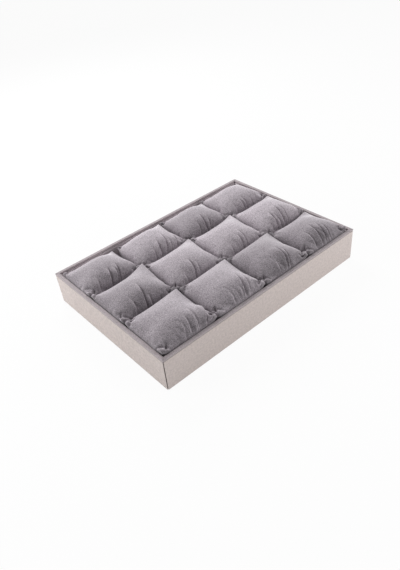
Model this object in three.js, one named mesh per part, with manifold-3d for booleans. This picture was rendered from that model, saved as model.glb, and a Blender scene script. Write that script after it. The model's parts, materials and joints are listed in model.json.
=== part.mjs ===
// A shallow cloth-covered tray that drops into a drawer and holds a grid of small stuffed velvet pillows.
// A bracelet or watch is strapped round a pillow, so every pillow lifts straight out of the tray.
// Millimetres, +Z up. The origin is the middle of the underside, +X runs along the tray and +Y to its back.
import * as THREE from "three";
import { mergeVertices } from "three/addons/utils/BufferGeometryUtils.js";
import Module from "manifold-3d";

const wasm = await Module();
wasm.setup();

// Outer size of the tray and the layout of its pillows
const TRAY_LENGTH = 350;
const TRAY_WIDTH = 240;
const TRAY_HEIGHT = 50;
const COLUMNS = 4;
const ROW_NAMES = ["front", "middle", "back"];

// Thickness of each layer of the wall, from the outside in
const CLOTH = 1;
const WALL_BOARD = 3;
const VELVET = 1;
const LINING_CARD = 2;

// Thickness of each layer of the bottom, from below
const UNDERSIDE_SHEET = 0.5;
const BASE_BOARD = 3;
const FLOOR_CARD = 2;

// Details of the wall
const RIM_LIP = 2; // how far the rim velvet turns down over the outer face
const RIM_JOINT = 0.6; // open line between the rim velvet and the outer cloth
const TURN_IN = 8; // width of the outer cloth glued under the base
const LINING_BELOW_RIM = 3;
const EDGE_RADIUS = 0.75;
const MITRE_GAP = 0.25; // open line at each corner, on each side of the mitre
const CLOTH_CORNER_GAP = 0.75; // the outer cloth stops a little short of each corner
const BOARD_GAP = 0.25; // where one wall board butts against the next
const ARC_STEPS = 3;
const MERGE_DISTANCE = 1e-4; // points closer than this are one point

// Details of the underside sheet, which laps over the turned-in cloth
const SHEET_INSET = 3;
const SHEET_STEP = 2; // width of the step from the lap up to the base board
const SHEET_CLEARANCE = 0.25;

// A pillow as it sits in the tray
const PILLOW_CLEARANCE = 0.6; // between neighbours, and half of it to the lining
const SEAM_ABOVE_RIM = 1;
const BACK_ROW_DROP = 2; // the back row sits a little deeper than the others
const SEAM_DRAW_IN = 3; // each side of the seam is pulled in between its corners
const SEAM_DROOP = { front: 16, back: 3.5, left: 12, right: 3 }; // and hangs this much lower there
const CROWN = 24.9; // from the level of the drooping seam up to the top
const FULL_SLOPE = 0.5; // the front and left slopes are full, steep at the seam
const LEAN_SLOPE = 0.95; // the back and right slopes fall more evenly
const BELLY_POWER = 4; // how square the lower half is in its cell
const BELLY_PRESS = 2; // how far the stuffing is flattened by the floor
const COVER_STEPS = 12;

// The stuffing inside a pillow, which doesn't reach into the sewn corners
const COVER_WALL = 1.5;
const SEAM_MARGIN = 6;
const STUFFING_CLEARANCE = 0.4;
const STUFFING_STEPS = 4;
const SLIT_LENGTH = 24; // the length of seam left open for the stuffing
const SLIT_HEIGHT = 1;
const SLIT_DEPTH = 22;

// Levels and widths that follow from the layers
const BASE_BOTTOM = UNDERSIDE_SHEET + CLOTH;
const BASE_TOP = BASE_BOTTOM + BASE_BOARD;
const FLOOR_TOP = BASE_TOP + FLOOR_CARD;
const CLOTH_TOP = TRAY_HEIGHT - RIM_LIP - RIM_JOINT;
const BOARD_INNER = CLOTH + WALL_BOARD;
const RIM_INNER = BOARD_INNER + VELVET;
const LINING_INNER = RIM_INNER + LINING_CARD;
const CELL_LENGTH = (TRAY_LENGTH - 2 * LINING_INNER) / COLUMNS;
const CELL_WIDTH = (TRAY_WIDTH - 2 * LINING_INNER) / ROW_NAMES.length;
const LONG_BOARD = TRAY_LENGTH - 2 * (CLOTH + BOARD_GAP);
const SHORT_BOARD = TRAY_WIDTH - 2 * (BOARD_INNER + BOARD_GAP);
const MEAN_DROOP = (SEAM_DROOP.front + SEAM_DROOP.back + SEAM_DROOP.left + SEAM_DROOP.right) / 4;

// Finishes
const OUTER_CLOTH = { color: 0xc6bbb5, roughness: 0.95, metalness: 0 };
const GREY_VELVET = { color: 0xaaa2a9, roughness: 0.9, metalness: 0 };
const GREYBOARD = { color: 0x6e6a66, roughness: 0.85, metalness: 0 };
const UNDERSIDE_FELT = { color: 0x8d878a, roughness: 1, metalness: 0 };
const POLYESTER_FIBRE = { color: 0xf2f0ec, roughness: 1, metalness: 0 };

// A closed three.js geometry as a solid that can be cut and joined.
function toSolid(geometry) {
  const bare = geometry.clone();
  bare.deleteAttribute("normal");
  bare.deleteAttribute("uv");
  const merged = mergeVertices(bare, MERGE_DISTANCE);
  return new wasm.Manifold(
    new wasm.Mesh({
      numProp: 3,
      vertProperties: new Float32Array(merged.attributes.position.array),
      triVerts: new Uint32Array(merged.index.array),
    }),
  );
}

function fromSolid(solid) {
  const { vertProperties, triVerts } = solid.getMesh();
  const geometry = new THREE.BufferGeometry();
  geometry.setAttribute("position", new THREE.BufferAttribute(vertProperties, 3));
  geometry.setIndex(new THREE.BufferAttribute(triVerts, 1));
  geometry.computeVertexNormals();
  return geometry;
}

function namedMesh(name, geometry, finish) {
  const mesh = new THREE.Mesh(geometry, new THREE.MeshStandardMaterial(finish));
  mesh.name = name;
  return mesh;
}

// A flat panel that stops the same distance short of the tray's outer face on every side.
function panelGeometry(inset, bottom, top) {
  const panel = new THREE.BoxGeometry(TRAY_LENGTH - 2 * inset, TRAY_WIDTH - 2 * inset, top - bottom);
  return panel.translate(0, 0, (bottom + top) / 2);
}

// The profiles of the wall's layers: x is the depth in from the outer face, y the height.
function clothProfile() {
  const shape = new THREE.Shape();
  shape.moveTo(0, UNDERSIDE_SHEET + EDGE_RADIUS);
  shape.lineTo(0, CLOTH_TOP - EDGE_RADIUS);
  shape.absarc(EDGE_RADIUS, CLOTH_TOP - EDGE_RADIUS, EDGE_RADIUS, Math.PI, Math.PI / 2, true);
  shape.lineTo(CLOTH, CLOTH_TOP);
  shape.lineTo(CLOTH, BASE_BOTTOM);
  shape.lineTo(TURN_IN, BASE_BOTTOM);
  shape.lineTo(TURN_IN, UNDERSIDE_SHEET);
  shape.lineTo(EDGE_RADIUS, UNDERSIDE_SHEET);
  shape.absarc(EDGE_RADIUS, UNDERSIDE_SHEET + EDGE_RADIUS, EDGE_RADIUS, -Math.PI / 2, -Math.PI, true);
  return shape;
}

function rimVelvetProfile() {
  const shape = new THREE.Shape();
  const cornerHeight = TRAY_HEIGHT - EDGE_RADIUS;
  shape.moveTo(0, TRAY_HEIGHT - RIM_LIP);
  shape.lineTo(0, cornerHeight);
  shape.absarc(EDGE_RADIUS, cornerHeight, EDGE_RADIUS, Math.PI, Math.PI / 2, true);
  shape.lineTo(RIM_INNER - EDGE_RADIUS, TRAY_HEIGHT);
  shape.absarc(RIM_INNER - EDGE_RADIUS, cornerHeight, EDGE_RADIUS, Math.PI / 2, 0, true);
  shape.lineTo(RIM_INNER, BASE_TOP);
  shape.lineTo(BOARD_INNER, BASE_TOP);
  shape.lineTo(BOARD_INNER, TRAY_HEIGHT - VELVET);
  shape.lineTo(CLOTH, TRAY_HEIGHT - VELVET);
  shape.lineTo(CLOTH, TRAY_HEIGHT - RIM_LIP);
  return shape;
}

function liningProfile() {
  const shape = new THREE.Shape();
  const radius = LINING_CARD / 2;
  const roundHeight = TRAY_HEIGHT - LINING_BELOW_RIM - radius;
  shape.moveTo(RIM_INNER, FLOOR_TOP);
  shape.lineTo(RIM_INNER, roundHeight);
  shape.absarc(RIM_INNER + radius, roundHeight, radius, Math.PI, 0, true);
  shape.lineTo(LINING_INNER, FLOOR_TOP);
  return shape;
}

// One layer of one wall: its profile swept along X, centred, and mitred at both ends.
function mitredStrip(profile, span, gap) {
  const strip = new THREE.ExtrudeGeometry(profile, {
    depth: span,
    steps: 1,
    bevelEnabled: false,
    curveSegments: ARC_STEPS,
  });
  const alongY = new THREE.Vector3(0, 1, 0);
  const alongZ = new THREE.Vector3(0, 0, 1);
  const alongX = new THREE.Vector3(1, 0, 0);
  strip.applyMatrix4(new THREE.Matrix4().makeBasis(alongY, alongZ, alongX));
  const points = strip.attributes.position;
  for (let i = 0; i < points.count; i++) {
    const halfSpan = span / 2 - points.getY(i) - gap;
    points.setX(i, points.getX(i) > span / 2 ? halfSpan : -halfSpan);
  }
  strip.computeVertexNormals();
  return strip;
}

// The stiff board in the middle of a wall.
function wallBoardGeometry(length) {
  const height = TRAY_HEIGHT - VELVET - BASE_BOTTOM;
  const board = new THREE.BoxGeometry(length, WALL_BOARD, height);
  return board.translate(0, CLOTH + WALL_BOARD / 2, BASE_BOTTOM + height / 2);
}

// Four walls, each a group that holds its layers, with the outer face on the group's own X axis.
function makeWall(side, span, boardLength, x, y, turn) {
  const wall = new THREE.Group();
  wall.position.set(x, y, 0);
  wall.rotation.z = turn;
  wall.add(
    namedMesh(`${side}_outer_cloth`, mitredStrip(clothProfile(), span, CLOTH_CORNER_GAP), OUTER_CLOTH),
    namedMesh(`${side}_wall_board`, wallBoardGeometry(boardLength), GREYBOARD),
    namedMesh(`${side}_rim_velvet`, mitredStrip(rimVelvetProfile(), span, MITRE_GAP), GREY_VELVET),
    namedMesh(`${side}_lining_panel`, mitredStrip(liningProfile(), span, MITRE_GAP), GREY_VELVET),
  );
  return wall;
}

// The sheet under the tray laps over the turned-in cloth and, inside it, steps up to the base board.
function undersideSheetGeometry() {
  const lapInner = TURN_IN + SHEET_CLEARANCE;
  const lap = toSolid(panelGeometry(SHEET_INSET, 0, UNDERSIDE_SHEET));
  const step = toSolid(panelGeometry(lapInner, 0, BASE_BOTTOM));
  const hollowTop = BASE_BOTTOM - UNDERSIDE_SHEET;
  const hollow = toSolid(panelGeometry(lapInner + SHEET_STEP, -UNDERSIDE_SHEET, hollowTop));
  return fromSolid(lap.add(step).subtract(hollow));
}

function makeBottom() {
  const bottom = new THREE.Group();
  bottom.add(
    namedMesh("underside_sheet", undersideSheetGeometry(), UNDERSIDE_FELT),
    namedMesh("base_board", panelGeometry(BOARD_INNER, BASE_BOTTOM, BASE_TOP), GREYBOARD),
    namedMesh("floor_panel", panelGeometry(RIM_INNER, BASE_TOP, FLOOR_TOP), GREY_VELVET),
  );
  return bottom;
}

// A pillow is two sewn panels on one grid: u and v run from -1 to 1 between the seams.
function pillowForm(seamHeight) {
  return {
    halfLength: (CELL_LENGTH - PILLOW_CLEARANCE) / 2,
    halfWidth: (CELL_WIDTH - PILLOW_CLEARANCE) / 2,
    reachAlong: 1,
    reachAcross: 1,
    drawIn: SEAM_DRAW_IN,
    seamHeight,
    crown: CROWN,
    depth: seamHeight - MEAN_DROOP - FLOOR_TOP + BELLY_PRESS,
    restHeight: FLOOR_TOP,
    steps: COVER_STEPS,
  };
}

// The same form, smaller all round, for the hollow of a cover and for the stuffing in it.
function innerForm(form, wall) {
  const halfLength = form.halfLength - SEAM_MARGIN - wall;
  const halfWidth = form.halfWidth - SEAM_MARGIN - wall;
  return {
    ...form,
    halfLength,
    halfWidth,
    reachAlong: halfLength / form.halfLength,
    reachAcross: halfWidth / form.halfWidth,
    crown: form.crown - wall,
    depth: form.depth - wall,
    restHeight: form.restHeight + wall,
    steps: STUFFING_STEPS,
  };
}

// A value that changes evenly from one side of a pillow to the other.
function between(near, far, t) {
  return near + ((far - near) * (1 + t)) / 2;
}

// How far the panels hang below the corners of the seam, blended from the droop of the four sides.
function sag(u, v) {
  const [alongOpen, acrossOpen] = [1 - u * u, 1 - v * v];
  const frontToBack = between(SEAM_DROOP.front, SEAM_DROOP.back, v);
  const leftToRight = between(SEAM_DROOP.left, SEAM_DROOP.right, u);
  return alongOpen * frontToBack + acrossOpen * leftToRight - alongOpen * acrossOpen * MEAN_DROOP;
}

function pillowPoint(form, u, v, upper) {
  const x = u * (form.halfLength - form.drawIn * u * u * (1 - v * v));
  const y = v * (form.halfWidth - form.drawIn * v * v * (1 - u * u));
  const seam = form.seamHeight - sag(u * form.reachAlong, v * form.reachAcross);
  if (upper) {
    const riseAlong = (1 - u * u) ** between(FULL_SLOPE, LEAN_SLOPE, u);
    const riseAcross = (1 - v * v) ** between(FULL_SLOPE, LEAN_SLOPE, v);
    return [x, y, seam + form.crown * riseAlong * riseAcross];
  }
  const fall = Math.sqrt((1 - Math.abs(u) ** BELLY_POWER) * (1 - Math.abs(v) ** BELLY_POWER));
  return [x, y, Math.max(form.restHeight, seam - form.depth * fall)];
}

// Both panels as one closed geometry, with grid lines drawn closer together towards the seam.
function pillowGeometry(form) {
  const { steps } = form;
  const gridLine = (i) => Math.sin((i / steps - 0.5) * Math.PI);
  const points = [];
  const triangles = [];
  const row = steps + 1;
  for (const upper of [true, false]) {
    const first = points.length / 3;
    for (let j = 0; j <= steps; j++) {
      for (let i = 0; i <= steps; i++) {
        points.push(...pillowPoint(form, gridLine(i), gridLine(j), upper));
      }
    }
    for (let j = 0; j < steps; j++) {
      for (let i = 0; i < steps; i++) {
        const a = first + j * row + i;
        const [b, c, d] = [a + 1, a + row + 1, a + row];
        const crownward = i < steps / 2 === j < steps / 2;
        const faces = crownward ? [a, b, c, a, c, d] : [a, b, d, b, c, d];
        triangles.push(...(upper ? faces : faces.reverse()));
      }
    }
  }
  const geometry = new THREE.BufferGeometry();
  geometry.setAttribute("position", new THREE.Float32BufferAttribute(points, 3));
  geometry.setIndex(triangles);
  return geometry;
}

// The cover is hollow, and open where a length of its right-hand seam is left for the stuffing.
function coverGeometry(form) {
  const slitMiddle = form.halfLength - form.drawIn;
  const slit = new THREE.BoxGeometry(SLIT_DEPTH, SLIT_LENGTH, SLIT_HEIGHT);
  slit.translate(slitMiddle, 0, form.seamHeight - SEAM_DROOP.right);
  const hollow = toSolid(pillowGeometry(innerForm(form, COVER_WALL)));
  return fromSolid(toSolid(pillowGeometry(form)).subtract(hollow).subtract(toSolid(slit)));
}

function makePillow(rowIndex, column) {
  const isBackRow = rowIndex === ROW_NAMES.length - 1;
  const seamHeight = TRAY_HEIGHT + SEAM_ABOVE_RIM - (isBackRow ? BACK_ROW_DROP : 0);
  const form = pillowForm(seamHeight);
  const stuffing = innerForm(form, COVER_WALL + STUFFING_CLEARANCE);
  const name = `${ROW_NAMES[rowIndex]}_pillow_${column + 1}`;
  const pillow = new THREE.Group();
  pillow.position.set(
    (column - (COLUMNS - 1) / 2) * CELL_LENGTH,
    (rowIndex - (ROW_NAMES.length - 1) / 2) * CELL_WIDTH,
    0,
  );
  pillow.add(
    namedMesh(`${name}_cover`, coverGeometry(form), GREY_VELVET),
    namedMesh(`${name}_stuffing`, pillowGeometry(stuffing), POLYESTER_FIBRE),
  );
  return pillow;
}

const insert = new THREE.Group();
insert.add(
  makeBottom(),
  makeWall("front", TRAY_LENGTH, LONG_BOARD, 0, -TRAY_WIDTH / 2, 0),
  makeWall("right", TRAY_WIDTH, SHORT_BOARD, TRAY_LENGTH / 2, 0, Math.PI / 2),
  makeWall("back", TRAY_LENGTH, LONG_BOARD, 0, TRAY_WIDTH / 2, Math.PI),
  makeWall("left", TRAY_WIDTH, SHORT_BOARD, -TRAY_LENGTH / 2, 0, -Math.PI / 2),
);
ROW_NAMES.forEach((_, rowIndex) => {
  for (let column = 0; column < COLUMNS; column++) {
    insert.add(makePillow(rowIndex, column));
  }
});

export default insert;
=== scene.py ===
"""Looks of a drawer tray of bracelet pillows: stuffed velvet, cloth-covered walls and a plain stage.

Every length in this file is in metres unless its name says otherwise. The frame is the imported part's
own: +X along the tray, +Y to its back, +Z up, with the origin in the middle of the underside.
"""
import json
import math

import bpy
import numpy as np
from bpy.props import FloatProperty, FloatVectorProperty, IntProperty, PointerProperty
from mathutils import Matrix, Vector


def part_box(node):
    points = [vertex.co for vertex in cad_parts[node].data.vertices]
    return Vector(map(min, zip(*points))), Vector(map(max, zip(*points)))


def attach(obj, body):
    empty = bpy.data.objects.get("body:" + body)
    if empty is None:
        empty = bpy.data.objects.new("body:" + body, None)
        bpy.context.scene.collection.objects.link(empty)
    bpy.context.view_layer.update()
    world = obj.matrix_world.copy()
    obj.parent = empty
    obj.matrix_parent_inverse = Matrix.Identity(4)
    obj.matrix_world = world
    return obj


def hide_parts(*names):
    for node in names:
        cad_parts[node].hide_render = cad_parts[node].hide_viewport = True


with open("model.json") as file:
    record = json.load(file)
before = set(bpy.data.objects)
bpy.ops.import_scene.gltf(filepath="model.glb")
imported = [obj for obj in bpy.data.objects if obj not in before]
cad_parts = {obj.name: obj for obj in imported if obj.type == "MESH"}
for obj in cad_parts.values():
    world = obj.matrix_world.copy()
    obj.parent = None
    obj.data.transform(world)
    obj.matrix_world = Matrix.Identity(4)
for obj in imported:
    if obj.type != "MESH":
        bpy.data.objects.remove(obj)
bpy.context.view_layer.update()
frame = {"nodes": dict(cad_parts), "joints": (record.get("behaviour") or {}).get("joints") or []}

bl_info = {
    "name": "Bracelet Pillow Tray",
    "version": (1, 0, 0),
    "blender": (4, 5, 0),
    "location": "View3D > Sidebar > Pillow Tray",
    "description": "Sews, stuffs and settles velvet pillows in a cloth-covered drawer tray",
    "category": "Object",
}

MM = 0.001
WALL_SIDES = ("front", "right", "back", "left")
PILLOW_BODIES = tuple(joint["child"] for joint in frame["joints"])
# The pillows of a row are numbered from the left wall, as 1, to the right one
LAST_COLUMN = 4

# Just under the rim, the top of the outer cloth is darkened over this height: painted shadow of the rim's
# lip
LIP_SHADOW_HEIGHT = 0.8 * MM

# Two panels are sewn where their points are this close, on panels that are 2 by 2 units
SEWN_WITHIN = 0.0005

# A corner's two numbers are -1 for left or front and 1 for right or back
CORNERS = ((-1, -1), (1, -1), (-1, 1), (1, 1))
# The back right corner of each pillow is a smooth peak, and the other three are looped up into ears
PEAK_CORNER = (1, 1)
EAR_CORNERS = tuple(side for side in CORNERS if side != PEAK_CORNER)
PEAK_LIFT = 2.5 * MM
# The front left corner dips under the peak of the next pillow, except at the front and left walls
NEAR_LEFT_DIP = 3 * MM
# Peaks reach a little over the next pillow, and most are pushed aside, up or down
PEAK_REACH = 1.5 * MM
PUSHED_PEAKS = {
    "front_pillow_1": Vector((-2, 0, 1)) * MM,
    "front_pillow_4": Vector((-1, 0, -2)) * MM,
    "middle_pillow_1": Vector((0, 0, 3)) * MM,
    "middle_pillow_4": Vector((-1, 0, -2)) * MM,
    "back_pillow_1": Vector((-4, -3, -3)) * MM,
    "back_pillow_2": Vector((0, -1, -1)) * MM,
    "back_pillow_3": Vector((2, -3, -3)) * MM,
    "back_pillow_4": Vector((-1, -2, -3)) * MM,
}
PUSHED_REACH = 45 * MM
# At the back wall a gap opens, where this pillow's corner is pulled away from the peak beside it
GAP_PILLOW = "back_pillow_2"
GAP_CORNER = (-1, 1)
GAP_PULL = Vector((3.5, -1, -2)) * MM
GAP_REACH = 35 * MM

# Down to a little below its seam, a pillow spreads to the front and left, to the wall or the next pillow
WALL_SPREAD = 2.6 * MM
SIDE_SPREAD = 1 * MM
SPREAD_DEPTH = 3.5 * MM
# Powers of the slopes, lower for a fuller one: front and left slopes are full, but less so at a wall,
# and back and right ones are lean
FULL_POWER = 0.5
WALL_POWER = 0.8
BACK_POWER = 0.65
SLACK_POWER = 1.15
RIGHT_POWER = 0.9
# Most of the pillows are slack along the back, where the seam sags this much further
SLACK_BACKS = {
    "front_pillow_4": 4 * MM,
    "middle_pillow_1": 7 * MM,
    "middle_pillow_2": 4 * MM,
    "middle_pillow_3": 5 * MM,
    "middle_pillow_4": 5 * MM,
    "back_pillow_1": 5 * MM,
    "back_pillow_2": 5 * MM,
    "back_pillow_3": 5 * MM,
    "back_pillow_4": 5 * MM,
}
# The belly would reach this far below the floor, which presses it flat
BELLY_PRESS = 2 * MM

# The tip of an ear is rounded off by this much, over this reach
TIP_ROUNDING = 1.2 * MM
TIP_REACH = 2.5 * TIP_ROUNDING
# The length and the height of single ears vary by these factors
EAR_LENGTHS = (0.85, 1.15)
EAR_HEIGHTS = (0.6, 1.1)
# Ears stand up at the front and left walls, and elsewhere are pressed down and painted darker, as painted
# shade where the pillows meet
PRESSED_EAR = 0.6
EAR_PAINTED_SHADE = 0.42
# In from its corner, an ear is flat up to the first distance and stuffed in full from the second
EAR_FLAT_FROM = 4 * MM
EAR_FLAT_TO = 13 * MM
# At those walls the stuffing reaches on under the ears, nearly into the corner
FILLED_EAR = 0.3

# A crisp fold rises gently on its left and falls steeply on its right, into a crease two falls away
FOLD_RISE = 5.5 * MM
FOLD_FALL = 1.1 * MM
CREASE_SHARE = 0.8
# A pillow has two to four folds (randint leaves out the upper number). The first is off the middle by
# this many half widths
FOLD_COUNTS = (2, 5)
FIRST_FOLDS = (-0.5, 0.0)
# The folds lean to the right by this share of their length, each turned a little from the rest
FOLD_LEANS = (0.1, 0.4)
FOLD_TURNS = (-0.12, 0.12)
# Their spacing varies by these factors, and their strength is a share of the full height
FOLD_SPACINGS = (0.7, 1.3)
FOLD_STRENGTHS = (0.35, 1.0)
FOLD_LENGTHS_MM = (20, 40)
FOLD_BOWS_MM = (0, 4)
# One more fold, to the left of these, is fainter
FAINT_FOLD_ASIDE_MM = (8, 16)
FAINT_FOLD_STRENGTHS = (0.2, 0.45)
# Folds gain their height over this distance from the seam
FOLD_START = 6 * MM

# Behind an ear is a narrow neck, with a tuck at one side and a fan of shallow creases
NECK_WIDTH = 1.5 * MM
TUCK_LENGTH = 3.5 * MM
TUCK_WIDTH = 1.3 * MM
# Depths as a share of the tuck's, and places as a share of the ear's length
NECK_DEPTH = 0.4
FAN_DEPTH = 0.12
NECK_PLACES = (0.9, 1.1)
NECK_SPAN = 0.4
TUCKS_ASIDE = (0.3, 0.5)
FAN_FROM = 0.6
FAN_TO = 2.4
FAN_CREASES = (5, 8)

# Slopes that face the back right, towards the back lamp, are painted paler and slopes facing away darker:
# painted light and shade, on top of how the pile lies
PAINTED_LIGHT_FROM = Vector((0.6, 0.8, 0.0))
SLOPE_PAINTED_LIGHT = 0.52
LEVEL_LIE = 0.5
PALEST_LIE = 0.85
PILLOW_LIES = (-0.05, 0.05)
# On some of the pillows the pile lies flatter and paler, or is more upright and darker
BRUSHED_FLAT = {
    "front_pillow_3": -0.1,
    "front_pillow_4": -0.15,
    "middle_pillow_1": -0.1,
    "middle_pillow_2": 0.2,
    "middle_pillow_3": 0.3,
    "middle_pillow_4": 0.25,
    "back_pillow_2": 0.2,
    "back_pillow_4": 0.2,
}

# Spare cloth starts just inside the front seam, at -1, and gives out towards the middle of the top, at 0
SPARE_START = (-1.0, -0.9)
SPARE_END = (0.1, -0.6)
# The cloth is simulated this much larger than life, at a size that suits the solver
SIMULATION_SCALE = 10.0
SIMULATED_VELVET = {
    "quality": 8,
    "mass": 0.004,
    "tension_stiffness": 40,
    "compression_stiffness": 40,
    "shear_stiffness": 10,
    "bending_stiffness": 0.5,
    "tension_damping": 3,
    "compression_damping": 3,
    "shear_damping": 3,
    "bending_damping": 0.5,
    "air_damping": 2,
}

FLOOR_SIZE = 6
# How much of the paper's white is shown whatever the light, so that it keeps only a faint shadow
PAPER_GLOW = 0.94
LAMP_WIDTH = 0.7
LAMP_PLACES = {
    "back": (0.3, 0.9, 0.75),
    "left": (-0.8, 0.5, 0.4),
    "right": (0.55, -0.85, 0.3),
}
SENSOR_MM = 36


def srgb(hex_colour):
    """A colour written as six hex digits, as the linear values that a shader takes."""
    channels = [int(hex_colour[i:i + 2], 16) / 255 for i in (0, 2, 4)]
    return tuple(c / 12.92 if c <= 0.04045 else ((c + 0.055) / 1.055) ** 2.4 for c in channels)


def smooth_step(low, high, value):
    """0 at low, 1 at high and an even curve between them, in either direction."""
    t = np.clip((value - low) / (high - low), 0, 1)
    return t * t * (3 - 2 * t)


def mesh_points(obj):
    """Every vertex of an object's mesh, as an array."""
    points = np.empty(len(obj.data.vertices) * 3)
    obj.data.vertices.foreach_get("co", points)
    return points.reshape(-1, 3)


def mesh_normals(obj):
    """The normal at every vertex of an object's mesh, as an array."""
    normals = np.empty(len(obj.data.vertices) * 3)
    obj.data.vertices.foreach_get("normal", normals)
    return normals.reshape(-1, 3)


def set_mesh_points(obj, points):
    """Moves every vertex of an object's mesh to its place in an array."""
    obj.data.vertices.foreach_set("co", np.ascontiguousarray(points, np.float32).ravel())
    obj.data.update()


class TRAY_PG_finish(bpy.types.PropertyGroup):
    """Colours of the cloth and velvet."""

    outer_cloth: FloatVectorProperty(
        name="Outer cloth", description="Warm grey brushed cloth on the outside of the walls",
        subtype="COLOR", size=3, min=0, max=1, default=srgb("CCC1BD"))
    pillow_velvet: FloatVectorProperty(
        name="Pillow velvet", description="Mauve grey velvet of the pillows",
        subtype="COLOR", size=3, min=0, max=1, default=srgb("ADA5AB"))
    rim_velvet: FloatVectorProperty(
        name="Rim velvet", description="Grey velvet over the rim",
        subtype="COLOR", size=3, min=0, max=1, default=srgb("B0A6A9"))
    # The lining and the floor in the tray are paler than the rim's velvet: partly their own tone, partly
    # painted light on the shaded walls inside the tray
    lining_velvet: FloatVectorProperty(
        name="Lining velvet", description="Paler grey velvet of the lining and the floor in the tray",
        subtype="COLOR", size=3, min=0, max=1, default=srgb("C2B8BC"))
    # The board's dark grey is partly its own colour and partly painted shade, so that the open corners
    # read as dark gaps
    greyboard: FloatVectorProperty(
        name="Greyboard", description="Pressed board inside the walls, seen only in the open corners",
        subtype="COLOR", size=3, min=0, max=1, default=srgb("4A4442"))
    underside_felt: FloatVectorProperty(
        name="Underside felt", description="Thin felt glued under the tray",
        subtype="COLOR", size=3, min=0, max=1, default=srgb("8D878A"))


class TRAY_PG_pillow(bpy.types.PropertyGroup):
    """How a pillow is cut, sewn and stuffed."""

    spacing: FloatProperty(
        name="Mesh spacing", description="Spacing of the cloth's points along the panels",
        unit="LENGTH", default=1.6 * MM)
    corner_drop: FloatProperty(
        name="Corner drop", description="From the top of the crown down to the corners of the seam",
        unit="LENGTH", default=16.5 * MM)
    droop_near: FloatProperty(
        name="Front droop", description="How far the seam sags between the front corners",
        unit="LENGTH", default=13 * MM)
    droop_far: FloatProperty(
        name="Back droop", description="How far the seam sags between the back corners",
        unit="LENGTH", default=2 * MM)
    droop_left: FloatProperty(
        name="Left droop", description="How far the seam sags along the left side",
        unit="LENGTH", default=4.5 * MM)
    droop_right: FloatProperty(
        name="Right droop", description="How far the seam sags along the right side",
        unit="LENGTH", default=2.5 * MM)
    droop_wall: FloatProperty(
        name="Wall droop", description="How far the seam sags where the front or left wall holds it up",
        unit="LENGTH", default=0.6 * MM)
    draw_back: FloatProperty(
        name="Back wall draw-in", description="How far the back row stands off the back wall",
        unit="LENGTH", default=4 * MM)
    draw_in: FloatProperty(
        name="Draw-in", description="How far the back and right sides draw in between the corners",
        unit="LENGTH", default=1.2 * MM)
    fold_height: FloatProperty(
        name="Fold height", description="Height of the crisp folds on the front slope",
        unit="LENGTH", default=3.2 * MM)
    fold_spacing: FloatProperty(
        name="Fold spacing", description="Distance between the folds at the front seam",
        unit="LENGTH", default=7 * MM)
    ear_length: FloatProperty(
        name="Ear length", description="How much of a corner is looped up, along its diagonal",
        unit="LENGTH", default=9 * MM)
    ear_height: FloatProperty(
        name="Ear height", description="Height of the looped corners",
        unit="LENGTH", default=4 * MM)
    tuck_depth: FloatProperty(
        name="Tuck depth", description="Depth of the tuck beside each looped corner",
        unit="LENGTH", default=4 * MM)
    spare_cloth: FloatProperty(
        name="Spare cloth", description="How much the cloth of the front slope is wider than its space",
        subtype="FACTOR", min=0, max=0.5, default=0.05)
    pressure: FloatProperty(
        name="Stuffing pressure", description="Pressure of the stuffing on the cloth", default=4.0)
    frames: IntProperty(
        name="Frames", description="Length of the simulation", default=24)
    seed: IntProperty(
        name="Seed", description="Gives each pillow its own small differences", default=31)


class TRAY_PG_stage(bpy.types.PropertyGroup):
    """The camera and the light."""

    azimuth: FloatProperty(
        name="Azimuth", description="Direction that the camera stands in, from the front",
        subtype="ANGLE", default=math.radians(-37.74))
    elevation: FloatProperty(
        name="Elevation", description="Height of the camera over the horizon",
        subtype="ANGLE", default=math.radians(38.59))
    roll: FloatProperty(
        name="Roll", description="How far the camera leans to its right",
        subtype="ANGLE", default=math.radians(6.58))
    distance: FloatProperty(
        name="Distance", description="From the camera to the point that it looks at",
        unit="LENGTH", default=0.78324)
    aim: FloatVectorProperty(
        name="Aim", description="The point that the camera looks at",
        subtype="TRANSLATION", size=3, default=(-0.0139, 0.0049, -0.0058))
    lens_mm: FloatProperty(
        name="Lens", description="Focal length for a 36 mm sensor along the long side", default=33.83)
    back_power: FloatProperty(
        name="Back light", description="Power of the soft lamp behind the tray, in watts", default=7.5)
    left_power: FloatProperty(
        name="Left light", description="Power of the soft lamp on the left, in watts", default=4.8)
    right_power: FloatProperty(
        name="Right light", description="Power of the soft lamp on the right, in watts", default=4.6)
    fill: FloatProperty(
        name="Fill light", description="Strength of the even light from all round", default=0.38)


def add_node(tree, kind, settings=None, inputs=None):
    """A node with its settings, and its inputs as values or as links from other nodes' outputs."""
    node = tree.nodes.new(kind)
    for name, value in (settings or {}).items():
        setattr(node, name, value)
    for name, value in (inputs or {}).items():
        if isinstance(value, bpy.types.NodeSocket):
            tree.links.new(value, node.inputs[name])
        else:
            node.inputs[name].default_value = value
    return node


def new_material(name, surface):
    """A material with these values on its shader, and its tree, shader and object coordinates."""
    material = bpy.data.materials.new(name)
    material.use_nodes = True
    tree = material.node_tree
    tree.nodes.clear()
    shader = add_node(tree, "ShaderNodeBsdfPrincipled", None, surface)
    add_node(tree, "ShaderNodeOutputMaterial", None, {"Surface": shader.outputs["BSDF"]})
    place = add_node(tree, "ShaderNodeTexCoord").outputs["Object"]
    return material, tree, shader, place


def per_metre(millimetres):
    """The scale of a pattern whose repeats are this far apart."""
    return 1 / (millimetres * MM)


def shades(colour, *factors):
    """Darker and lighter shades of one colour, as shader colours."""
    return [tuple(c * factor for c in colour) + (1,) for factor in factors]


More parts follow.
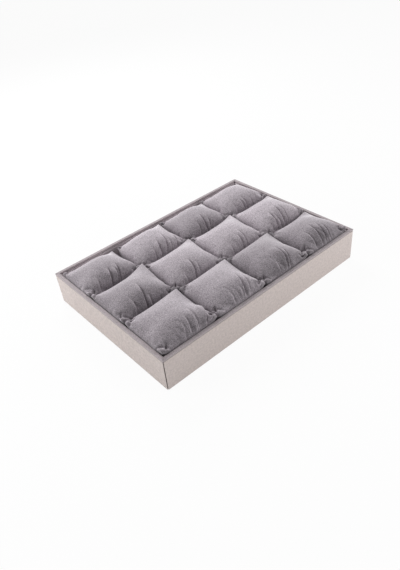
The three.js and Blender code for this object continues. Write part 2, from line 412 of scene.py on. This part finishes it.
def short_pile_velvet(name, colour, speckle, nap=None):
    """Cut-pile velvet: matt, with a pale bloom at grazing angles and patches of pile that lies otherwise.

    speckle is how far single tufts stray from the colour, up and down. nap names the attribute that
    says how dark or pale a sewn piece is, from 0 to 1: the lie of its pile, with painted light and shade.
    """
    material, tree, shader, place = new_material(name, {
        "Roughness": 0.95, "Specular IOR Level": 0.15,
        "Sheen Weight": 0.85, "Sheen Roughness": 0.4, "Sheen Tint": (*srgb("F9F6F9"), 1)})
    # Pile is about 0.2 mm across, too fine to show, so its speckle is drawn at about 1 mm. Patches where a
    # hand has brushed it are about 16 mm across
    pile = add_node(tree, "ShaderNodeTexNoise", None,
                    {"Vector": place, "Scale": per_metre(1.1), "Detail": 0.5, "Roughness": 0.7})
    brushed = add_node(tree, "ShaderNodeTexNoise", None,
                       {"Vector": place, "Scale": per_metre(16), "Detail": 2.0, "Distortion": 0.6})
    dark, light = shades(colour, 1 - speckle, 1 + speckle)
    tufts = add_node(tree, "ShaderNodeMix", {"data_type": "RGBA"},
                     {"Factor": pile.outputs["Fac"], "A": dark, "B": light})
    # Laid over the tufts, mid grey leaves their tone as it is
    dark, light = shades((0.5, 0.5, 0.5), 0.86, 1.14)
    patches = add_node(tree, "ShaderNodeMix", {"data_type": "RGBA"},
                       {"Factor": brushed.outputs["Fac"], "A": dark, "B": light})
    tone = add_node(tree, "ShaderNodeMix", {"data_type": "RGBA", "blend_type": "OVERLAY"},
                    {"Factor": 0.4, "A": tufts.outputs["Result"], "B": patches.outputs["Result"]})
    # The attribute darkens or lightens the colour: the lie of the pile, and painted light and shade
    if nap:
        lie_and_shade = add_node(tree, "ShaderNodeAttribute", {"attribute_name": nap})
        dark, light = shades((1, 1, 1), 0.45, 1.55)
        cast = add_node(tree, "ShaderNodeMix", {"data_type": "RGBA"},
                        {"Factor": lie_and_shade.outputs["Fac"], "A": dark, "B": light})
        tone = add_node(tree, "ShaderNodeMix", {"data_type": "RGBA", "blend_type": "MULTIPLY"},
                        {"Factor": 1.0, "A": tone.outputs["Result"], "B": cast.outputs["Result"]})
    bump = add_node(tree, "ShaderNodeBump", None,
                    {"Height": pile.outputs["Fac"], "Strength": 0.35, "Distance": 0.4 * MM})
    tree.links.new(tone.outputs["Result"], shader.inputs["Base Color"])
    tree.links.new(bump.outputs["Normal"], shader.inputs["Normal"])
    return material


def brushed_cloth(name, colour, top):
    """Brushed plain-weave cloth glued to board: matt and slubbed, with a painted shadow along its top edge
    under the rim's lip.
    """
    material, tree, shader, place = new_material(name, {
        "Roughness": 0.9, "Specular IOR Level": 0.25, "Sheen Weight": 0.15, "Sheen Roughness": 0.5})
    # Threads are about 0.3 mm apart, too fine to show, so slubs are drawn at 3 mm and threads at 0.6 mm
    slubs = add_node(tree, "ShaderNodeTexNoise", None,
                     {"Vector": place, "Scale": per_metre(3), "Detail": 3.0, "Roughness": 0.75})
    threads = add_node(tree, "ShaderNodeTexNoise", None,
                       {"Vector": place, "Scale": per_metre(0.6), "Detail": 2.0})
    # The last shade is the painted shadow under the rim's lip
    dark, light, lip_shade = shades(colour, 0.62, 1.38, 0.2)
    slubbed = add_node(tree, "ShaderNodeMix", {"data_type": "RGBA"},
                       {"Factor": slubs.outputs["Fac"], "A": dark, "B": light})
    # Towards its top the cloth is darkened: painted shadow under the rim's lip
    height = add_node(tree, "ShaderNodeSeparateXYZ", None, {"Vector": place}).outputs["Z"]
    lip_shadow = add_node(tree, "ShaderNodeMapRange", None,
                      {"Value": height, "From Min": top - LIP_SHADOW_HEIGHT, "From Max": top, "To Max": 0.6})
    tone = add_node(tree, "ShaderNodeMix", {"data_type": "RGBA"},
                    {"Factor": lip_shadow.outputs["Result"], "A": slubbed.outputs["Result"], "B": lip_shade})
    bump = add_node(tree, "ShaderNodeBump", None,
                    {"Height": threads.outputs["Fac"], "Strength": 0.3, "Distance": 0.2 * MM})
    tree.links.new(tone.outputs["Result"], shader.inputs["Base Color"])
    tree.links.new(bump.outputs["Normal"], shader.inputs["Normal"])
    return material


def pressed_fibre(name, colour, grain_mm):
    """Pressed board or felt: matt, with short fibres that mottle its tone."""
    material, tree, shader, place = new_material(name, {"Roughness": 0.95, "Specular IOR Level": 0.2})
    fibres = add_node(tree, "ShaderNodeTexNoise", None,
                      {"Vector": place, "Scale": per_metre(grain_mm), "Detail": 5.0, "Roughness": 0.7})
    dark, light = shades(colour, 0.75, 1.25)
    tone = add_node(tree, "ShaderNodeMix", {"data_type": "RGBA"},
                    {"Factor": fibres.outputs["Fac"], "A": dark, "B": light})
    bump = add_node(tree, "ShaderNodeBump", None,
                    {"Height": fibres.outputs["Fac"], "Strength": 0.25, "Distance": 0.2 * MM})
    tree.links.new(tone.outputs["Result"], shader.inputs["Base Color"])
    tree.links.new(bump.outputs["Normal"], shader.inputs["Normal"])
    return material


def dress(nodes, material):
    """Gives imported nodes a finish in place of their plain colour."""
    for name in nodes:
        mesh = frame["nodes"][name].data
        mesh.materials.clear()
        mesh.materials.append(material)


class TRAY_OT_dress_walls(bpy.types.Operator):
    """Cover the walls in cloth and velvet, and finish the boards inside them"""

    bl_idname = "tray.dress_walls"
    bl_label = "Dress Walls"

    def execute(self, context):
        finish = context.scene.tray_finish
        rim = short_pile_velvet("rim_velvet", finish.rim_velvet, speckle=0.4)
        lining = short_pile_velvet("lining_velvet", finish.lining_velvet, speckle=0.4)
        board = pressed_fibre("greyboard", finish.greyboard, grain_mm=2)
        cloth = brushed_cloth("outer_cloth", finish.outer_cloth, top=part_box("front_outer_cloth")[1].z)
        dress([f"{side}_outer_cloth" for side in WALL_SIDES], cloth)
        dress([f"{side}_rim_velvet" for side in WALL_SIDES], rim)
        dress([f"{side}_lining_panel" for side in WALL_SIDES], lining)
        dress([f"{side}_wall_board" for side in WALL_SIDES], board)
        return {"FINISHED"}


class TRAY_OT_dress_bottom(bpy.types.Operator):
    """Finish the felt, the board and the velvet panel of the bottom"""

    bl_idname = "tray.dress_bottom"
    bl_label = "Dress Bottom"

    def execute(self, context):
        finish = context.scene.tray_finish
        dress(["underside_sheet"], pressed_fibre("underside_felt", finish.underside_felt, grain_mm=1.2))
        dress(["base_board"], pressed_fibre("base_greyboard", finish.greyboard, grain_mm=2))
        dress(["floor_panel"], short_pile_velvet("floor_velvet", finish.lining_velvet, speckle=0.4))
        return {"FINISHED"}


class Places:
    """Where the points of a sewn pillow lie in its cell.

    along and across run from -1 to 1, from the left and the front seam to the right and the back one.
    right and far run from 0 to 1 in the same way. Points on the seam belong to neither panel.
    """

    def __init__(self, pillow, body):
        places = np.empty(len(pillow.data.vertices) * 3)
        pillow.data.attributes["place"].data.foreach_get("vector", places)
        self.along, self.across, panel = places.reshape(-1, 3).T
        self.right = (1 + self.along) / 2
        self.far = (1 + self.across) / 2
        self.is_top = panel > 0
        self.is_bottom = panel < 0
        self.low, self.high = (np.array(corner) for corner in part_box(f"{body}_cover"))
        self.half = (self.high - self.low) / 2

    def from_corner(self, side):
        """How far in from a corner each point lies along its diagonal, and how far beside the diagonal."""
        x = (1 - side[0] * self.along) * self.half[0]
        y = (1 - side[1] * self.across) * self.half[1]
        return (x + y) / math.sqrt(2), (x - y) / math.sqrt(2)


def sew_panels(name, length, width, spacing):
    """Two panels laid on each other and sewn along their edges, 2 by 2 units and already swollen."""
    bpy.ops.object.select_all(action="DESELECT")
    bpy.ops.mesh.primitive_grid_add(
        x_subdivisions=round(length / spacing), y_subdivisions=round(width / spacing), size=2)
    pillow = bpy.context.object
    pillow.name = pillow.data.name = name
    bpy.ops.object.mode_set(mode="EDIT")
    bpy.ops.mesh.select_all(action="SELECT")
    bpy.ops.mesh.duplicate()
    bpy.ops.mesh.flip_normals()
    bpy.ops.object.mode_set(mode="OBJECT")
    is_lower = np.empty(len(pillow.data.vertices), bool)
    pillow.data.vertices.foreach_get("select", is_lower)
    points = mesh_points(pillow)
    swell = np.clip((1 - points[:, 0] ** 2) * (1 - points[:, 1] ** 2), 0, 1)
    points[:, 2] = np.where(is_lower, -swell, swell)
    set_mesh_points(pillow, points)
    bpy.ops.object.mode_set(mode="EDIT")
    bpy.ops.mesh.select_all(action="SELECT")
    bpy.ops.mesh.remove_doubles(threshold=SEWN_WITHIN)
    bpy.ops.object.mode_set(mode="OBJECT")
    place = pillow.data.attributes.new("place", "FLOAT_VECTOR", "POINT")
    place.data.foreach_set("vector", mesh_points(pillow).ravel())
    return pillow


def cell_of(body):
    """The row and the column of a pillow's cell, from the name of its body."""
    row, _, column = body.split("_")
    return row, int(column)


def at_wall(body, side):
    """Whether one corner of a pillow lies at the front or the left wall."""
    row, column = cell_of(body)
    return (side[1] < 0 and row == "front") or (side[0] < 0 and column == 1)


def seam_droops(settings, body):
    """How far the front, back, left and right seams of a pillow sag: less where a wall holds them up."""
    row, column = cell_of(body)
    return (
        settings.droop_wall if row == "front" else settings.droop_near,
        settings.droop_far + SLACK_BACKS.get(body, 0),
        settings.droop_wall if column == 1 else settings.droop_left,
        settings.droop_right,
    )


def crown_fullness(places, body):
    """The swell of a pillow's top, from nothing along the seam, with a slope of its own to each side."""
    row, column = cell_of(body)
    near_power = WALL_POWER if row == "front" else FULL_POWER
    left_power = WALL_POWER if column == 1 else FULL_POWER
    back_power = SLACK_POWER if body in SLACK_BACKS else BACK_POWER
    lean_x = left_power * (1 - places.right) + RIGHT_POWER * places.right - FULL_POWER
    lean_y = near_power * (1 - places.far) + back_power * places.far - FULL_POWER
    inside_x = np.clip(1 - places.along * places.along, 0, 1)
    inside_y = np.clip(1 - places.across * places.across, 0, 1)
    return inside_x ** (FULL_POWER + lean_x * inside_y) * inside_y ** (FULL_POWER + lean_y * inside_x)


def stuffed_form(places, settings, body):
    """The smooth form of a stuffed pillow in its cell."""
    row, column = cell_of(body)
    u, v, right, far = places.along, places.across, places.right, places.far
    low, high, half = places.low, places.high, places.half
    middle = (high + low) / 2
    x = u * half[0] - settings.draw_in * right * u ** 3 * (1 - v * v)
    y = v * half[1] - settings.draw_in * far * v ** 3 * (1 - u * u)
    if row == "back":
        y -= settings.draw_back * far * v * v

    # The seam sags between its corners, and inside it each point's level blends the four sides
    droop = seam_droops(settings, body)
    mean_droop = sum(droop) / len(droop)
    sag = ((1 - u * u) * (droop[0] * (1 - far) + droop[1] * far)
           + (1 - v * v) * (droop[2] * (1 - right) + droop[3] * right)
           - (1 - u * u) * (1 - v * v) * mean_droop)
    dip = 0 if row == "front" or column == 1 else NEAR_LEFT_DIP
    lift = PEAK_LIFT * right * far - dip * (1 - right) * (1 - far)
    corner_height = high[2] - settings.corner_drop
    seam = corner_height + lift - sag

    # At the middle, where the crown is, a quarter of the two corners' lift and dip is left
    crown = settings.corner_drop + mean_droop - (PEAK_LIFT - dip) / 4
    fullness = crown_fullness(places, body)
    top = seam + crown * fullness / fullness.max()

    # The belly thins out towards the corners, where only the two panels lie on each other
    thin = np.ones(len(u))
    for side in CORNERS:
        inside, _ = places.from_corner(side)
        flat = FILLED_EAR if at_wall(body, side) else 1
        thin *= smooth_step(flat * EAR_FLAT_FROM, flat * EAR_FLAT_TO, inside)
    depth = corner_height - mean_droop - low[2] + BELLY_PRESS
    belly = np.sqrt(np.clip((1 - u ** 4) * (1 - v ** 4), 0, 1))
    bottom = np.maximum(low[2], seam - depth * belly * thin)
    z = np.where(places.is_top, top, np.where(places.is_bottom, bottom, seam))

    over_lining = smooth_step(SPREAD_DEPTH, 0, seam - z)
    spread_left = WALL_SPREAD if column == 1 else SIDE_SPREAD * (1 - v * v)
    spread_near = WALL_SPREAD if row == "front" else SIDE_SPREAD * (1 - u * u)
    x -= over_lining * spread_left * (1 - right) * u * u
    y -= over_lining * spread_near * (1 - far) * v * v
    return np.column_stack([x + middle[0], y + middle[1], z])


def loop_ear(points, places, side, length, height):
    """Rounds a corner's tip and arches the corner up into a loop, creased where it meets the pillow."""
    depth, _ = places.from_corner(side)
    rounded = TIP_ROUNDING / math.sqrt(2) * smooth_step(TIP_REACH, 0, depth)
    for axis in (0, 1):
        points[:, axis] -= side[axis] * rounded
    points[:, 2] += height * np.sin(math.pi * np.clip(depth / length, 0, 1))


def shape_pillow(pillow, body, settings, random):
    """Lays a sewn pillow in its cell at the simulation's size: stuffed, pushed and with looped ears."""
    places = Places(pillow, body)
    row, column = cell_of(body)
    points = stuffed_form(places, settings, body)
    depth, _ = places.from_corner(PEAK_CORNER)
    at_peak = smooth_step(PUSHED_REACH, 0, depth)
    points += np.outer(at_peak, PUSHED_PEAKS.get(body, Vector()))
    if row != "back" and column != LAST_COLUMN:
        points[:, :2] += PEAK_REACH * at_peak[:, None]
    if body == GAP_PILLOW:
        depth, _ = places.from_corner(GAP_CORNER)
        points += np.outer(smooth_step(GAP_REACH, 0, depth), GAP_PULL)
    for side in EAR_CORNERS:
        length = settings.ear_length * random.uniform(*EAR_LENGTHS)
        height = settings.ear_height * random.uniform(*EAR_HEIGHTS)
        if not at_wall(body, side):
            height *= PRESSED_EAR
        loop_ear(points, places, side, length, height)
    set_mesh_points(pillow, points * SIMULATION_SCALE)


def swell_cloth(pillow, body, settings):
    """Gives a pillow the simulation that swells its top panel, with spare cloth on its front slope."""
    places = Places(pillow, body)
    held = pillow.vertex_groups.new(name="held")
    held.add([int(i) for i in np.flatnonzero(~places.is_top)], 1.0, "REPLACE")
    full_width = pillow.vertex_groups.new(name="full_width")
    spare = smooth_step(*SPARE_START, places.across) * smooth_step(*SPARE_END, places.across)
    for index, weight in enumerate(1 - spare * places.is_top):
        full_width.add([index], float(weight), "REPLACE")

    cloth = pillow.modifiers.new("Cloth", "CLOTH")
    for name, value in SIMULATED_VELVET.items():
        setattr(cloth.settings, name, value)
    cloth.settings.vertex_group_mass = held.name
    cloth.settings.vertex_group_shrink = full_width.name
    cloth.settings.shrink_min = -settings.spare_cloth
    cloth.settings.shrink_max = 0
    cloth.settings.use_pressure = True
    cloth.settings.uniform_pressure_force = settings.pressure
    cloth.settings.effector_weights.gravity = 0
    cloth.collision_settings.use_collision = False
    cloth.collision_settings.use_self_collision = False
    cloth.point_cache.frame_start = 1
    cloth.point_cache.frame_end = settings.frames


def crisp_folds(places, settings, random):
    """Height of the crisp folds that run up from the front seam: a cluster, and a fainter one aside."""
    x = places.along * places.half[0]
    y = (places.across + 1) * places.half[1]
    count = random.randint(*FOLD_COUNTS)
    first = random.uniform(*FIRST_FOLDS) * places.half[0]
    lean = random.uniform(*FOLD_LEANS)
    folds = []
    for number in range(count):
        root = first + number * settings.fold_spacing * random.uniform(*FOLD_SPACINGS)
        folds.append((root, random.uniform(*FOLD_STRENGTHS)))
    root = first - random.uniform(*FAINT_FOLD_ASIDE_MM) * MM
    folds.append((root, random.uniform(*FAINT_FOLD_STRENGTHS)))

    height = np.zeros(len(x))
    for root, strength in folds:
        # The fainter a fold is, the shorter, down to half the length
        length = random.uniform(*FOLD_LENGTHS_MM) * MM * (0.5 + 0.5 * strength)
        bow = random.uniform(*FOLD_BOWS_MM) * MM
        turned = lean + random.uniform(*FOLD_TURNS)
        off = x - root - turned * y - bow * np.sin(math.pi * np.clip(y / length, 0, 1))
        ridge = np.exp(-(off / np.where(off < 0, FOLD_RISE, FOLD_FALL)) ** 2)
        crease = np.exp(-(off / FOLD_FALL - 2) ** 2)
        fade = smooth_step(0, FOLD_START, y) * smooth_step(length, 0.5 * length, y)
        height += strength * (ridge - CREASE_SHARE * crease) * fade
    return height * settings.fold_height * places.is_top


def tucked_corner(places, side, settings, random):
    """Depth of the neck behind a looped corner, the creases that fan out from it and its tuck."""
    depth, aside = places.from_corner(side)
    neck = settings.ear_length * random.uniform(*NECK_PLACES)
    angle = np.arctan2(aside, depth - neck / 2)
    fan = np.cos(random.uniform(*FAN_CREASES) * angle + random.uniform(0, 2 * math.pi))
    behind = smooth_step(FAN_FROM * neck, neck, depth) * smooth_step(FAN_TO * neck, neck, depth)
    off_side = random.choice([-1, 1]) * random.uniform(*TUCKS_ASIDE) * neck
    tuck = np.exp(-((depth - neck) / TUCK_LENGTH) ** 2 - ((aside - off_side) / TUCK_WIDTH) ** 2)
    crease = np.exp(-((depth - neck) / NECK_WIDTH) ** 2)
    crease *= smooth_step(neck, NECK_SPAN * neck, np.abs(aside))
    return (FAN_DEPTH * fan * behind + tuck + NECK_DEPTH * crease) * settings.tuck_depth * places.is_top


def crease_pillow(pillow, body, settings, random):
    """Presses the crisp folds and the tucks into a pillow's skin, and notes how its pile lies, with
    painted light and shade by slope and on the ears.
    """
    places = Places(pillow, body)
    raised = crisp_folds(places, settings, random)
    ear_shade = np.zeros(len(raised))
    for side in EAR_CORNERS:
        raised -= tucked_corner(places, side, settings, random)
        # Ears away from the walls are painted darker: painted shade where the pillows meet
        if not at_wall(body, side):
            depth, _ = places.from_corner(side)
            ear_shade += EAR_PAINTED_SHADE * smooth_step(EAR_FLAT_TO, EAR_FLAT_FROM, depth)
    set_mesh_points(pillow, mesh_points(pillow) + mesh_normals(pillow) * raised[:, None])
    # Slopes facing the back right are painted paler and the rest darker: painted light and shade, added to
    # the lie of the pile
    slope_light = SLOPE_PAINTED_LIGHT * mesh_normals(pillow) @ np.array(PAINTED_LIGHT_FROM)
    lie_and_shade = LEVEL_LIE + slope_light + random.uniform(*PILLOW_LIES)
    lie_and_shade += BRUSHED_FLAT.get(body, 0) - ear_shade
    nap = pillow.data.attributes.new("nap", "FLOAT", "POINT")
    nap.data.foreach_set("value", np.clip(lie_and_shade, 0, PALEST_LIE))
    pillow.data.attributes.remove(pillow.data.attributes["place"])


class TRAY_OT_stuff_pillows(bpy.types.Operator):
    """Sew, stuff and settle a velvet pillow in every cell of the tray"""

    bl_idname = "tray.stuff_pillows"
    bl_label = "Stuff Pillows"

    def execute(self, context):
        scene = context.scene
        settings = scene.tray_pillow
        colour = scene.tray_finish.pillow_velvet
        velvet = short_pile_velvet("pillow_velvet", colour, speckle=0.8, nap="nap")
        pillows = {}
        randoms = {}
        for number, body in enumerate(PILLOW_BODIES):
            low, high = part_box(f"{body}_cover")
            randoms[body] = np.random.RandomState(settings.seed + number)
            pillow = sew_panels(f"{body}_velvet", high.x - low.x, high.y - low.y, settings.spacing)
            shape_pillow(pillow, body, settings, randoms[body])
            swell_cloth(pillow, body, settings)
            pillows[body] = pillow
        # Each frame takes the simulation of all the pillows one step on
        for number in range(1, settings.frames + 1):
            scene.frame_set(number)
        for pillow in pillows.values():
            self.keep_form(context, pillow)
        scene.frame_set(1)
        for body, pillow in pillows.items():
            set_mesh_points(pillow, mesh_points(pillow) / SIMULATION_SCALE)
            crease_pillow(pillow, body, settings, randoms[body])
            pillow.data.shade_smooth()
            pillow.data.materials.append(velvet)
            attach(pillow, body)
            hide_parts(f"{body}_cover", f"{body}_stuffing")
        return {"FINISHED"}

    def keep_form(self, context, pillow):
        """Applies a pillow's simulation as it stands, with a finer mesh for the folds."""
        finer = pillow.modifiers.new("Subdivision", "SUBSURF")
        finer.levels = finer.render_levels = 1
        context.view_layer.objects.active = pillow
        for modifier in list(pillow.modifiers):
            bpy.ops.object.modifier_apply(modifier=modifier.name)
        pillow.vertex_groups.clear()


def camera_matrix(stage):
    """Where the camera stands and how it is turned, from its angles round the point that it looks at."""
    back = Vector((
        math.sin(stage.azimuth) * math.cos(stage.elevation),
        -math.cos(stage.azimuth) * math.cos(stage.elevation),
        math.sin(stage.elevation),
    ))
    level_right = Vector((math.cos(stage.azimuth), math.sin(stage.azimuth), 0))
    level_up = back.cross(level_right)
    right = level_right * math.cos(stage.roll) - level_up * math.sin(stage.roll)
    up = level_right * math.sin(stage.roll) + level_up * math.cos(stage.roll)
    turn = Matrix((right, up, back)).transposed().to_4x4()
    return Matrix.Translation(Vector(stage.aim) + back * stage.distance) @ turn


class TRAY_OT_set_stage(bpy.types.Operator):
    """Add the pale floor, the soft studio light and the camera"""

    bl_idname = "tray.set_stage"
    bl_label = "Set Stage"

    def execute(self, context):
        scene = context.scene
        stage = scene.tray_stage
        bpy.ops.object.select_all(action="DESELECT")
        bpy.ops.mesh.primitive_plane_add(size=FLOOR_SIZE)
        floor = context.object
        floor.name = "floor"
        floor.data.materials.append(self.paper_white_floor())

        scene.world = self.white_room(stage.fill)
        for side, place in LAMP_PLACES.items():
            self.soft_lamp(f"{side}_light", getattr(stage, f"{side}_power"), place)

        camera = bpy.data.objects.new("camera", bpy.data.cameras.new("camera"))
        scene.collection.objects.link(camera)
        camera.matrix_world = camera_matrix(stage)
        camera.data.lens = stage.lens_mm
        camera.data.sensor_width = SENSOR_MM
        scene.camera = camera
        scene.view_settings.view_transform = "Standard"
        return {"FINISHED"}

    def soft_lamp(self, name, power, place):
        """A round lamp behind a wide diffuser, turned to the middle of the tray."""
        lamp = bpy.data.lights.new(name, "AREA")
        lamp.shape = "DISK"
        lamp.size = LAMP_WIDTH
        lamp.energy = power
        obj = bpy.data.objects.new(name, lamp)
        bpy.context.scene.collection.objects.link(obj)
        obj.location = place
        obj.rotation_euler = (-obj.location).to_track_quat("-Z", "Y").to_euler()

    def seen_directly(self, tree):
        """1 for what the camera sees, straight or in a glossy surface, and 0 for light on other things."""
        path = add_node(tree, "ShaderNodeLightPath")
        seen = add_node(tree, "ShaderNodeMath", {"operation": "MAXIMUM"},
                        {0: path.outputs["Is Camera Ray"], 1: path.outputs["Is Glossy Ray"]})
        return seen.outputs[0]

    def paper_white_floor(self):
        """White paper: shown as white to the camera, but for the shadow that the tray casts on it."""
        material, tree, shader, _ = new_material("white_paper", {
            "Base Color": (*srgb("F3F3F3"), 1), "Roughness": 1.0, "Specular IOR Level": 0.0})
        share = add_node(tree, "ShaderNodeMath", {"operation": "MULTIPLY"},
                         {0: self.seen_directly(tree), 1: PAPER_GLOW})
        glow = add_node(tree, "ShaderNodeEmission", None,
                        {"Color": (*srgb("FFFFFF"), 1), "Strength": 1.0})
        mixed = add_node(tree, "ShaderNodeMixShader", None,
                         {0: share.outputs[0], 1: shader.outputs["BSDF"], 2: glow.outputs["Emission"]})
        output = next(node for node in tree.nodes if node.type == "OUTPUT_MATERIAL")
        tree.links.new(mixed.outputs["Shader"], output.inputs["Surface"])
        return material

    def white_room(self, fill):
        """Even white light from all round, which the camera sees as white."""
        world = bpy.data.worlds.new("white_room")
        world.use_nodes = True
        tree = world.node_tree
        tree.nodes.clear()
        strength = add_node(tree, "ShaderNodeMapRange", None,
                            {"Value": self.seen_directly(tree), "To Min": fill, "To Max": 1.0})
        light = add_node(tree, "ShaderNodeBackground", None,
                         {"Color": (*srgb("FFFFFF"), 1), "Strength": strength.outputs["Result"]})
        add_node(tree, "ShaderNodeOutputWorld", None, {"Surface": light.outputs["Background"]})
        return world


class TRAY_PT_sidebar(bpy.types.Panel):
    """Steps and sizes of the tray in the 3D view's sidebar"""

    bl_idname = "TRAY_PT_sidebar"
    bl_label = "Pillow Tray"
    bl_space_type = "VIEW_3D"
    bl_region_type = "UI"
    bl_category = "Pillow Tray"

    def draw(self, context):
        scene = context.scene
        for step in STEPS:
            self.layout.operator(step.bl_idname)
        for settings in (scene.tray_finish, scene.tray_pillow, scene.tray_stage):
            box = self.layout.box()
            for name in settings.__annotations__:
                box.prop(settings, name)


STEPS = (TRAY_OT_dress_walls, TRAY_OT_dress_bottom, TRAY_OT_stuff_pillows, TRAY_OT_set_stage)
CLASSES = (TRAY_PG_finish, TRAY_PG_pillow, TRAY_PG_stage, *STEPS, TRAY_PT_sidebar)


def register():
    for cls in CLASSES:
        bpy.utils.register_class(cls)
    bpy.types.Scene.tray_finish = PointerProperty(type=TRAY_PG_finish)
    bpy.types.Scene.tray_pillow = PointerProperty(type=TRAY_PG_pillow)
    bpy.types.Scene.tray_stage = PointerProperty(type=TRAY_PG_stage)


def unregister():
    del bpy.types.Scene.tray_stage
    del bpy.types.Scene.tray_pillow
    del bpy.types.Scene.tray_finish
    for cls in reversed(CLASSES):
        bpy.utils.unregister_class(cls)


def main():
    register()
    bpy.ops.tray.dress_walls()
    bpy.ops.tray.dress_bottom()
    bpy.ops.tray.stuff_pillows()
    bpy.ops.tray.set_stage()


if __name__ == "__main__":
    main()
